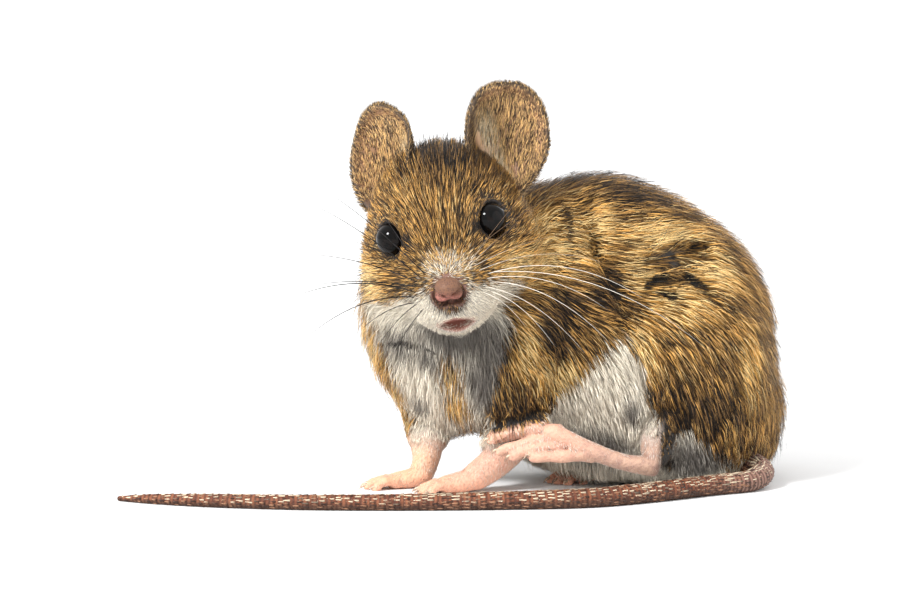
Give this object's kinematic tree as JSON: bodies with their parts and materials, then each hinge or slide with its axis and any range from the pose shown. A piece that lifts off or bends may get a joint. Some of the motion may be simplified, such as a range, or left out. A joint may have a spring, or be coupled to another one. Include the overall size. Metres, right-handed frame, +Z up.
{
  "type": "field mouse",
  "caption": "Life-size field mouse hunched on the floor, head turned to the viewer, a hind foot lifted along its side and its long tail curved in front.",
  "frame": {"origin": "on the floor, under the middle of the whole animal's bounding box", "axes": "+Z up; +X from the tip of the tail towards the rump; the face looks towards -Y"},
  "size_m": [0.0822, 0.0454, 0.0503],
  "materials": {
    "brown_fur": "soft, matt, brown banded with black and gold",
    "pale_fur": "soft, matt, greyish white",
    "skin": "soft, satin, pink with fine pale hairs",
    "ear_skin": "thin, satin, brown with fine hairs",
    "nose_skin": "bare, moist, pinkish brown",
    "eye": "wet, glossy black",
    "tail_skin": "ringed with fine scales and short bristles"
  },
  "bodies": {
    "root": {"head": "brown_fur", "lower_jaw": "pale_fur", "nose": "nose_skin", "eye_left": "eye", "eye_right": "eye", "ear_left": "ear_skin", "ear_right": "ear_skin", "neck": "brown_fur", "chest": "pale_fur", "abdomen": "pale_fur", "rump": "brown_fur", "upper_arm_left": "brown_fur", "upper_arm_right": "brown_fur", "thigh_left": "brown_fur", "thigh_right": "brown_fur", "forearm_left": "skin", "forearm_right": "skin", "shank_left": "skin", "forepaw_left": "skin", "forepaw_right": "skin", "hind_foot_left": "skin", "hind_foot_right": "skin", "tail_base": "tail_skin", "tail_middle": "tail_skin", "tail_tip": "tail_skin"}
  },
  "joints": []
}
